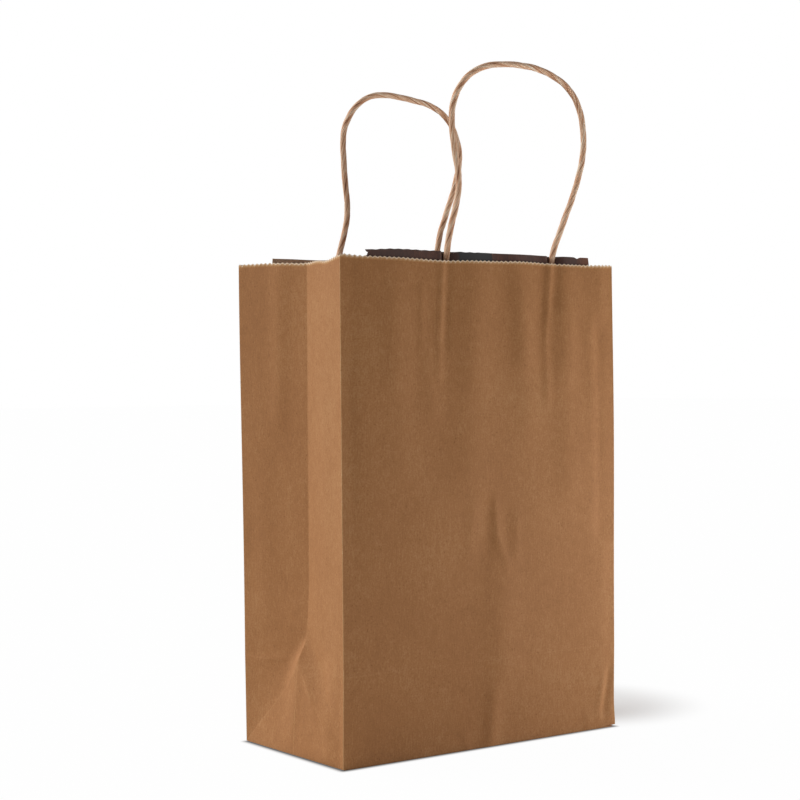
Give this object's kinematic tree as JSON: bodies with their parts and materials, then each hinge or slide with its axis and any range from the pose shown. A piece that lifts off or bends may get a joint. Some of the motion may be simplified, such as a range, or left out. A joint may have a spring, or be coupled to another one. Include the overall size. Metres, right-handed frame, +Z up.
{
  "type": "rope handle paper bag",
  "caption": "Upright brown kraft paper carrier bag with tucked side gussets, a block bottom, a serrated mouth and looped twisted paper cord handles.",
  "frame": {"origin": "middle of the bag's underside, on the surface it stands on", "axes": "+Z up through the mouth, +X along the bag's width, front panel facing -Y"},
  "size_m": [0.2, 0.1018, 0.3972],
  "materials": {
    "kraft_paper": "matt brown machine-finished kraft paper",
    "twisted_paper_cord": "matt twisted kraft paper cord",
    "strip_paper": "matt brown kraft paper, darker where it is glued"
  },
  "bodies": {
    "root": {"bag_body": "kraft_paper", "front_handle": "twisted_paper_cord", "rear_handle": "twisted_paper_cord", "front_strip_backing": "strip_paper", "front_strip_cover": "strip_paper", "rear_strip_backing": "strip_paper", "rear_strip_cover": "strip_paper"}
  },
  "joints": []
}
